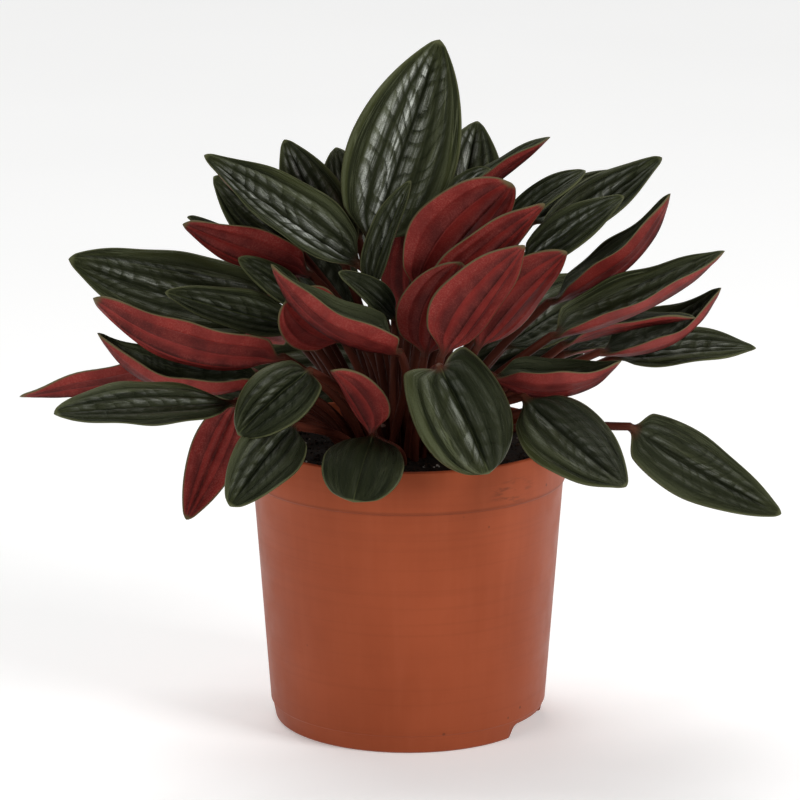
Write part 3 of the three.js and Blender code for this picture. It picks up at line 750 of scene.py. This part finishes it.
def upperFinish():
    finish, tree = newFinish("greenUpperPaintedSheen")
    spot = readLayer(tree, "leafSpot", "Vector")
    along, across, ridges, paintedSheenShare, tone = [readLayer(tree, name) for name in (
        "along", "across", "ridges", "paintedSheenShare", "tone")]
    out = reckon(tree, "ABSOLUTE", across)
    veins, widths, hollowed = blades["veins"], leafLook["veinWidths"], leafLook["hollowWidths"]
    streaks = stretched(tree, spot, leafLook["streaks"], 4, 0.6)
    washes = stretched(tree, spot, leafLook["washes"], 3, 0.6)
    fine = grain(tree, spot, leafLook["upperSpecks"], 3, 0.7)

    # the pleats beside the midrib: a painted highlight where they rise and painted shade in their
    # creases
    jitter = times(tree, grain(tree, spot, 0.7, 4, 0.65), 0.5)
    step = reckon(tree, "FRACT", reckon(tree, "ADD", readLayer(tree, "pleats"), jitter))
    lit = times(tree, between(tree, step, 0.02, 0.16), fading(tree, step, 0.5, 0.95))
    paintedCreaseShade = highest(tree, fading(tree, step, 0.0, 0.1), between(tree, step, 0.9, 1.0))
    paintedCreaseShade = times(tree, paintedCreaseShade, between(tree, grain(tree, spot, 0.25, 2), 0.35, 0.6, 0.25, 1.0))
    panels = highest(tree, bandAcross(tree, out, 0.0, 0.1, veins[1]),
                     times(tree, bandAcross(tree, out, veins[1], 0.45, veins[2]), 0.6))
    puckers = times(tree, paintedCreaseShade, panels, readLayer(tree, "puckered"), 0.8)

    # the sunken veins, dark partly in their own colour and partly in painted shade, and the
    # painted shade of the wide hollows that they run in
    midrib = times(tree, veinLine(tree, 0, widths[0]), fading(tree, along, 0.75, 0.94),
                   between(tree, grain(tree, spot, 0.2, 2), 0.35, 0.6, 0.5, 1.0))
    laterals = highest(tree, veinLine(tree, 1, widths[1]),
                       times(tree, veinLine(tree, 2, widths[2]), 0.6))
    laterals = times(tree, laterals, between(tree, paintedCreaseShade, 0.0, 1.0, 0.5, 0.9),
                     fading(tree, along, 0.8, 0.95))
    grooves = highest(tree, midrib, laterals)
    hollowShade = highest(tree, *[veinLine(tree, vein, hollowed[vein]) for vein in range(3)])
    hollowShade = times(tree, hollowShade, between(tree, along, 0.75, 0.95, 0.4, 0.0))

    # thin pale lines beside the margins, and a painted highlight on the crests of the ridges there
    fineness = leafLook["paleLines"]
    place = addNode(tree, "CombineXYZ", {
        "X": times(tree, across, fineness[0]), "Y": times(tree, along, fineness[1]),
        "Z": times(tree, tone, blades["apart"])})
    lines = reckon(tree, "SUBTRACT", grain(tree, place.outputs[0], 1.0, 2), 0.5)
    lines = times(tree, fading(tree, reckon(tree, "ABSOLUTE", lines), 0.004, 0.05),
                  between(tree, out, 0.3, 0.6), fading(tree, along, 0.93, 0.98))
    paleLinesAndCrestLight = highest(tree, times(tree, lines, 0.8), between(tree, ridges, 0.1, 0.35, 0.0, 0.7))
    paleLinesAndCrestLight = times(tree, paleLinesAndCrestLight, between(tree, fine, 0.3, 0.55, 0.4, 1.0))

    # the painted sheen bands, a painted highlight that stands in for gloss, broken up by the
    # painted light on the pleats, the streaks and the specks
    inner, outer = [bandAcross(tree, out, *band) for band in leafLook["paintedSheenBands"]]
    band = highest(tree, inner, times(tree, outer, leafLook["outerPaintedSheen"]))
    paintedSheen = times(tree, band, between(tree, washes, 0.38, 0.58, 0.14, 1.0),
                   between(tree, lit, 0.0, 1.0, 0.25, 1.0), paintedSheenShare,
                   between(tree, along, 0.03, 0.15), fading(tree, along, 0.8, 0.97),
                   between(tree, streaks, 0.38, 0.56, 0.3, 1.0),
                   between(tree, fine, 0.38, 0.6, 0.5, 1.0))
    paintedSheen = reckon(tree, "MINIMUM", paintedSheen, 1.0)

    paint = leafColours
    green = layColours(
        tree, paint["green"],
        (between(tree, out, 0.4, 0.95), paint["olive"]),
        (between(tree, streaks, 0.46, 0.66, 0.0, 0.6), paint["vein"]),
        (between(tree, fine, 0.5, 0.75, 0.0, 0.35), paint["vein"]),
        # painted shade low between the margin ridges
        (between(tree, ridges, -0.25, 0.0, 0.75, 0.0), paint["darkValleyAndShade"]),
        (paleLinesAndCrestLight, paint["crest"]),
        # painted shade: the green darkens where the painted sheen share is low, on halves turned
        # from the lamp side and on leaves given little sheen
        (between(tree, paintedSheenShare, 0.1, 0.35, 0.72, 0.0), paint["darkValleyAndShade"]),
        (paintedSheen, paint["paintedSheen"]),
        # painted shade in the hollows, the vein grooves and the pleats' creases
        (hollowShade, paint["darkValleyAndShade"]),
        (times(tree, highest(tree, grooves, puckers), 0.85), paint["darkValleyAndShade"]),
        (times(tree, veinLine(tree, 0, 0.4), between(tree, tone, 0.45, 0.8, 0.0, 0.8)),
         paint["vein"]),
        (highest(tree, edgeLine(tree), between(tree, along, 0.965, 0.99)), paint["edge"]),
        (fading(tree, along, 0.01, 0.09), stalkColour(tree)))
    roughness = reckon(tree, "SUBTRACT", between(tree, fine, 0.3, 0.7, 0.32, 0.5),
                       times(tree, paintedSheen, 0.14))
    dips = times(tree, reckon(tree, "ADD", grooves, puckers), -1.0)
    bumps = layBumps(tree, (dips, 0.5, 0.8), (streaks, 0.4, 0.7), (lines, 0.3, 0.7),
                     (fine, 0.16, 0.9))
    dress(tree, green, roughness, bumps, *leafLook["upperShine"])
    return finish


def foldShade(tree, out, start, stop):
    # painted shade: darkest just outside the vein at start, gone before the vein at stop
    return times(tree, between(tree, out, start - 0.015, start + 0.015),
                 fading(tree, out, start, mix(start, stop, 0.75)))


def underFinish():
    finish, tree = newFinish("wineRedUnderside")
    spot = readLayer(tree, "leafSpot", "Vector")
    along = readLayer(tree, "along")
    side, widths = blades["veins"][1], leafLook["ribWidths"]
    blotches = grain(tree, spot, 0.1, 3, 0.6)
    fine = grain(tree, spot, leafLook["underSpecks"], 3, 0.65)
    out = reckon(tree, "ABSOLUTE", readLayer(tree, "across"))
    # painted shade just outside each vein, as if the blade folded there, with darker wine blotches
    # at random
    folds = reckon(tree, "ADD", foldShade(tree, out, 0.0, side),
                   foldShade(tree, out, side, 1.0))
    shade = reckon(tree, "ADD", times(tree, folds, 0.75),
                   between(tree, blotches, 0.35, 0.75, 0.0, 0.5))
    ribs = highest(tree, veinLine(tree, 0, widths[0]),
                   times(tree, veinLine(tree, 1, widths[1]), 0.5))
    ribs = times(tree, ribs, between(tree, blotches, 0.35, 0.6, 0.5, 1.0),
                 between(tree, along, 0.8, 0.98, 1.0, 0.3))
    dust = times(tree, between(tree, fine, 0.42, 0.7), between(tree, out, 0.3, 1.0, 0.28, 0.6),
                 between(tree, blotches, 0.4, 0.62, 1.0, 0.45))
    paint = leafColours
    red = layColours(
        tree, paint["wine"],
        (reckon(tree, "MINIMUM", shade, 1.0), paint["wineDeepAndShade"]),
        (times(tree, ribs, 0.8), paint["wineVein"]),
        (dust, paint["wineBloom"]),
        (highest(tree, edgeLine(tree), between(tree, along, 0.95, 0.99)), paint["wineEdge"]),
        (fading(tree, along, 0.01, 0.12), stalkColour(tree)))
    dress(tree, red, between(tree, fine, 0.3, 0.7, 0.45, 0.62),
          layBumps(tree, (ribs, 0.4, 0.8), (fine, 0.15, 0.8)), *leafLook["underShine"])
    return finish


def stalkFinish():
    finish, tree = newFinish("fleshyStalk")
    spot = readLayer(tree, "leafSpot", "Vector")
    ribs = stretched(tree, spot, leafLook["stalkRibs"], 4)
    dress(tree, stalkColour(tree), between(tree, grain(tree, spot, 0.8), 0.3, 0.7, 0.38, 0.55),
          layBumps(tree, (ribs, 0.15, 0.5)), *leafLook["stalkShine"])
    return finish


def growLeaves():
    finishes = [upperFinish(), underFinish(), stalkFinish()]
    places = rootPlaces()
    bends = stalkBends(places)
    print("stalks settled")
    draw = random.Random(blades["seed"])
    mood = random.Random(blades["seed"] + 1)
    for (name, leaf), place, bend in zip(leaves.items(), places, bends):
        group = blades["surface"][name.split("_")[0]]
        surface = [share * mood.uniform(*span) for share, span in zip(group, blades["moods"])]
        surface = blades["ownSurface"].get(name, surface)
        bm = growLeaf(leaf, place, bend, draw.random(), surface)
        finishPiece(name.replace("_leaf_", "Leaf"), bm, finishes, name)
    print("leaves grown:", len(leaves))


crown = {
    "radius": 3.6,
    "height": 10,
    "depth": 9,
    "places": ((-11, -2), (9, 3)),
    "scars": (1, 3, 5, 7, 9),
    "neck": 0.86,
    "taper": 0.05,
    "around": 40,
    "rounding": (0.25, 12),            # width, and the least angle that is rounded
    "dark": rgb(0.06, 0.025, 0.02),
    "light": rgb(0.2, 0.09, 0.06),
    "bark": 900,                       # how fine it is
}


def crownFinish():
    finish, tree = newFinish("scarredStem")
    bark = grain(tree, readPlace(tree), crown["bark"], 4)
    dress(tree, layColours(tree, crown["dark"], (bark, crown["light"])),
          between(tree, bark, 0.3, 0.7, 0.55, 0.75), layBumps(tree, (bark, 0.3, 0.6)))
    return finish


def growCrowns():
    finish = crownFinish()
    for i, (x, y) in enumerate(crown["places"]):
        outline = [(0, -crown["depth"])]
        for k, z in enumerate((-crown["depth"],) + crown["scars"]):
            girth = crown["radius"] * (1 - crown["taper"] * k)
            outline.append((girth * (1 if k % 2 else crown["neck"]), z))
        outline.append((0, crown["height"]))
        level = soil["level"] + soil["mound"]
        bm = turnOnWheel([(r, z + level) for r, z in outline], crown["around"])
        bmesh.ops.translate(bm, vec=(x, y, 0), verts=bm.verts)
        softenEdges(bm, *crown["rounding"])
        finishPiece(f"crownStem{i + 1}", bm, [finish], f"crown_stem_{i + 1}")
    print("crown stems grown")


pot = {
    "height": 111,
    "rimRadius": 60,
    "rimWall": 1.7,
    "bandHeight": 16.2,
    "bandStep": 0.7,
    "bodyRadius": 59.3,
    "wall": 1.3,
    "footStep": 7.3,
    "footStepRadius": 53,
    "skirtRadius": 52.4,
    "footRadius": 51.2,
    "edge": 0.6,
    "rounding": (0.2, 9),
    "floorUnder": 6,
    "floorThickness": 1.3,
    "steps": 168,
    "drainHoles": 8,
    "drainRadius": 4,
    "drainRing": 34,
    "notchAngles": (69, 249),
    "notchTop": 33,
    "notchFoot": 37,
    "notchHeight": 5.4,
    "notchDepth": 20,
    "notchCorner": 1.8,
}
potLook = {
    "clay": rgb(0.268, 0.056, 0.0205),
    "cloud": rgb(0.306, 0.066, 0.025),
    "streak": rgb(0.34, 0.082, 0.035),
    "ring": rgb(0.2, 0.042, 0.017),
    "smudge": rgb(0.12, 0.034, 0.018),
    "shadow": rgb(0.12, 0.028, 0.014),
    "dot": rgb(0.05, 0.02, 0.014),
    "clouds": 28,
    "streaks": (260, 260, 14),         # how fine they are along x, y and z
    "rings": (9, 9, 620),
    "smears": (170, 170, 900),
    "smudgePlace": (0.039, -0.046, 0.1),    # a faint trace of soil on the band, in metres
    "smudgeReach": (0.004, 0.015),
    "shadowReach": (0.0002, 0.0012),
    "dots": (160.0, 0.93),             # how fine, and the share of places without one
    "shine": (0.14, rgb(1.0, 0.72, 0.58)),
}


def bandBottom():
    return pot["height"] - pot["bandHeight"]


def smudgeShare(tree, place):
    away = addNode(tree, "VectorMath", {0: place, 1: potLook["smudgePlace"]}, operation="SUBTRACT")
    away = addNode(tree, "VectorMath", {0: away.outputs[0], 1: (1, 1, 2.2)},
                   operation="MULTIPLY")
    away = addNode(tree, "VectorMath", {0: away.outputs[0]}, operation="LENGTH")
    smears = stretched(tree, place, potLook["smears"], 4, 0.7)
    return times(tree, fading(tree, away.outputs["Value"], *potLook["smudgeReach"]),
                 between(tree, smears, 0.48, 0.62, 0.0, 0.6))


def dotShare(tree, place):
    # a few of the cells have a small dark dot
    fineness, without = potLook["dots"]
    cells = addNode(tree, "TexVoronoi", {"Vector": place, "Scale": fineness})
    few = addNode(tree, "TexWhiteNoise", {"Vector": cells.outputs["Position"]})
    few = reckon(tree, "GREATER_THAN", few.outputs["Value"], without)
    return times(tree, fading(tree, cells.outputs["Distance"], 0.05, 0.13), few, 0.6)


def potFinish():
    finish, tree = newFinish("terracottaPlastic")
    place = readPlace(tree)
    paint = potLook
    cloudy = grain(tree, place, paint["clouds"], 4)
    streaks = stretched(tree, place, paint["streaks"], 3)
    turned = stretched(tree, place, paint["rings"], 2)
    height = addNode(tree, "SeparateXYZ", {"Vector": place}).outputs["Z"]
    shadow = reckon(tree, "SUBTRACT", height, bandBottom() * toMetres)
    shadow = between(tree, reckon(tree, "ABSOLUTE", shadow), *paint["shadowReach"], 0.45, 0.0)
    colour = layColours(
        tree, paint["clay"],
        (between(tree, cloudy, 0.3, 0.7), paint["cloud"]),
        (between(tree, streaks, 0.4, 0.8, 0.0, 0.25), paint["streak"]),
        (between(tree, turned, 0.5, 0.7, 0.0, 0.16), paint["ring"]),
        (smudgeShare(tree, place), paint["smudge"]),
        (shadow, paint["shadow"]),
        (dotShare(tree, place), paint["dot"]))
    satin = between(tree, grain(tree, place, 90, 5), 0.3, 0.75, 0.4, 0.5)
    bumps = layBumps(tree, (grain(tree, place, 1500, 2), 0.02, 0.35), (cloudy, 0.5, 0.12),
                     (turned, 0.08, 0.3))
    dress(tree, colour, satin, bumps, *paint["shine"])
    return finish


def mouldPot():
    floorTop = pot["floorUnder"] + pot["floorThickness"]
    band, edge, wall, body = bandBottom(), pot["edge"], pot["wall"], pot["bodyRadius"]
    height, rim, rimWall = pot["height"], pot["rimRadius"], pot["rimWall"]
    foot, skirt, step = pot["footRadius"], pot["skirtRadius"], pot["footStepRadius"]
    outer = body + pot["bandStep"]
    bm = turnOnWheel([
        (0, pot["floorUnder"]),
        (skirt - wall - edge, pot["floorUnder"]),
        (foot - wall, 0),
        (foot - edge, 0),
        (foot, edge),
        (skirt, pot["footStep"] - edge),
        (step, pot["footStep"]),
        (body, band - edge),
        (outer, band),
        (rim, height - edge),
        (rim - edge, height),
        (rim - rimWall + edge, height),
        (rim - rimWall, height - edge),
        (outer - rimWall, band),
        (body - wall, band - edge),
        (step - wall, floorTop + 2 * edge),
        (step - wall - 2 * edge, floorTop),
        (0, floorTop),
    ], pot["steps"])
    softenEdges(bm, *pot["rounding"])
    shell = finishPiece("potShell", bm, [potFinish()], "pot")
    for angle in pot["notchAngles"]:
        cutAway(shell, notchCutter(radians(angle)))
    for i in range(pot["drainHoles"]):
        cutAway(shell, drainCutter(2 * pi * i / pot["drainHoles"]))
    print("pot moulded")


def notchCutter(angle):
    bm = bmesh.new()
    top, foot, height = pot["notchTop"] / 2, pot["notchFoot"] / 2, pot["notchHeight"]
    corners = [(-foot, -1), (foot, -1), (top, height), (-top, height)]
    face = bm.faces.new([bm.verts.new((x, 0, z)) for x, z in corners])
    side = bmesh.ops.extrude_face_region(bm, geom=[face])["geom"]
    moved = [item for item in side if isinstance(item, bmesh.types.BMVert)]
    bmesh.ops.translate(bm, vec=(0, pot["notchDepth"], 0), verts=moved)
    topEdges = [e for e in bm.edges if abs(e.verts[0].co.y - e.verts[1].co.y) > 1
                and e.verts[0].co.z > 0]
    bmesh.ops.bevel(bm, geom=topEdges, offset=pot["notchCorner"], offset_type="OFFSET",
                    affect="EDGES", segments=5, profile=0.5, material=-1)
    bmesh.ops.recalc_face_normals(bm, faces=bm.faces)
    out = -pot["notchDepth"] / 2 - pot["footRadius"]
    bmesh.ops.translate(bm, vec=(0, out, 0), verts=bm.verts)
    bmesh.ops.rotate(bm, cent=(0, 0, 0), matrix=Matrix.Rotation(angle, 3, "Z"), verts=bm.verts)
    return bm


def drainCutter(angle):
    bm = bmesh.new()
    bmesh.ops.create_cone(bm, cap_ends=True, segments=32, radius1=pot["drainRadius"],
                          radius2=pot["drainRadius"], depth=4 * pot["floorThickness"])
    at = (pot["drainRing"] * cos(angle), pot["drainRing"] * sin(angle), pot["floorUnder"])
    bmesh.ops.translate(bm, vec=at, verts=bm.verts)
    return bm


def cutAway(piece, bm):
    cutter = makeMesh("cutter", bm)
    cut = piece.modifiers.new("cut", "BOOLEAN")
    cut.operation, cut.solver, cut.object = "DIFFERENCE", "EXACT", cutter
    graph = bpy.context.evaluated_depsgraph_get()
    shaped = bpy.data.meshes.new_from_object(piece.evaluated_get(graph))
    piece.modifiers.remove(cut)
    piece.data = shaped
    bpy.data.objects.remove(cutter)


soil = {
    "level": 102.5,
    "mound": 3,
    "gap": 0.3,
    "steps": 120,
    "rings": 46,
    "clods": ((0.11, 3, 0.9), (0.42, 7, 0.45), (1.3, 5, 0.25)),    # fineness, slice, height
    "crumbs": (1500, (0.5, 1.5), 0.9),    # how many, their sizes and how far they tilt
    "perlite": (90, (0.5, 1.1), 0.3),
    "edgeRoom": 1.6,         # between the outermost crumbs and the pot
    "shine": 0.15,
    "seed": 11,
    # the dark and the light colour, roughness and fineness of the fill, crumbs and grains
    "peatLook": (rgb(0.003, 0.0017, 0.001), rgb(0.017, 0.009, 0.005), 0.8, 420),
    "crumbLook": (rgb(0.005, 0.0027, 0.0015), rgb(0.034, 0.018, 0.01), 0.8, 500),
    "perliteLook": (rgb(0.3, 0.27, 0.23), rgb(0.6, 0.56, 0.5), 0.7, 700),
}


def soilInside(z):
    # the fill follows the pot's inside, a little clear of it
    share = (z - pot["footStep"]) / (bandBottom() - pot["footStep"])
    return mix(pot["footStepRadius"], pot["bodyRadius"], share) - pot["wall"] - soil["gap"]


def soilHeight(x, y):
    share = min(1, sqrt(x * x + y * y) / soilInside(bandBottom()))
    clods = sum(noise.noise(Vector((x * fineness, y * fineness, level))) * height
                for fineness, level, height in soil["clods"])
    return soil["level"] + soil["mound"] * (1 - share * share) + clods


def soilFinish(name, dark, light, roughness, fineness):
    finish, tree = newFinish(name)
    place = readPlace(tree)
    coarse = grain(tree, place, fineness, 5, 0.7)
    colour = layColours(tree, dark, (between(tree, coarse, 0.35, 0.7), light))
    lumps = grain(tree, place, fineness * 3, 4, 0.7)
    dress(tree, colour, between(tree, coarse, 0.3, 0.7, roughness, min(1.0, roughness + 0.2)),
          layBumps(tree, (lumps, 0.6, 0.8)), soil["shine"])
    return finish


def fillSoil():
    floorTop = pot["floorUnder"] + pot["floorThickness"]
    band = bandBottom()
    outline = [(0, floorTop + soil["gap"]),
               (soilInside(floorTop) - 3 * pot["edge"], floorTop + soil["gap"]),
               (soilInside(floorTop), floorTop + 3 * pot["edge"]),
               (soilInside(band - 2), band - 2)]
    for i in range(soil["rings"] + 1):
        outline.append((soilInside(band) * (1 - i / soil["rings"]), soil["level"]))
    bm = turnOnWheel(outline, soil["steps"])
    for vert in bm.verts:
        if vert.co.z > soil["level"] - 1:
            vert.co.z = soilHeight(vert.co.x, vert.co.y)
    peat = soilFinish("dampPeat", *soil["peatLook"])
    finishPiece("soilFill", bm, [peat], "soil")

    draw = random.Random(soil["seed"])
    fibre = soilFinish("peatCrumb", *soil["crumbLook"])
    pale = soilFinish("perlite", *soil["perliteLook"])
    scatter("peatCrumbs", fibre, draw, *soil["crumbs"])
    scatter("perliteGrains", pale, draw, *soil["perlite"])
    print("soil filled")


def scatter(name, finish, draw, count, sizes, tilt):
    # small lumps of uneven shape, each turned its own way and lying on the soil
    bm = bmesh.new()
    rim = soilInside(bandBottom()) - soil["edgeRoom"]
    for i in range(count):
        reach, angle = rim * sqrt(draw.random()), 2 * pi * draw.random()
        x, y = reach * cos(angle), reach * sin(angle)
        size = mix(*sizes, draw.random()**2)
        shape = Matrix.Diagonal((size, size * draw.uniform(0.5, 1), size * draw.uniform(0.4, 1)))
        turn = Matrix.Rotation(2 * pi * draw.random(), 3, "Z")
        turn = turn @ Matrix.Rotation(draw.uniform(-1, 1) * tilt, 3, "X")
        place = Vector((x, y, soilHeight(x, y) + 0.2 * size))
        crumb = bmesh.ops.create_icosphere(bm, subdivisions=1, radius=0.6)["verts"]
        for vert in crumb:
            lump = 1 + draw.uniform(-0.25, 0.25)
            vert.co = place + turn @ (shape @ (vert.co * lump))
    finishPiece(name, bm, [finish])


def layFloor():
    finish, tree = newFinish("paleFloor")
    red, green, blue = studio["paper"]
    shade = studio["paperShade"]
    colour = layColours(tree, rgb(red, green, blue), (
        grain(tree, readPlace(tree), 3, 2), rgb(shade * red, shade * green, shade * blue)))
    sockets = tree.nodes["Principled BSDF"].inputs
    tree.links.new(colour, sockets["Base Color"])
    tree.links.new(colour, sockets["Emission Color"])
    sockets["Emission Strength"].default_value = studio["paperGlow"]
    sockets["Roughness"].default_value = 0.9
    sockets["Specular IOR Level"].default_value = 0.1
    bm = bmesh.new()
    bmesh.ops.create_grid(bm, x_segments=1, y_segments=1, size=studio["paperSize"])
    paper = makeMesh("paperFloor", bm)
    paper.data.materials.append(finish)
    paper.location.z = -studio["paperDrop"] * toMetres
    print("floor laid")


setUpStudio()
growLeaves()
growCrowns()
mouldPot()
fillSoil()
layFloor()
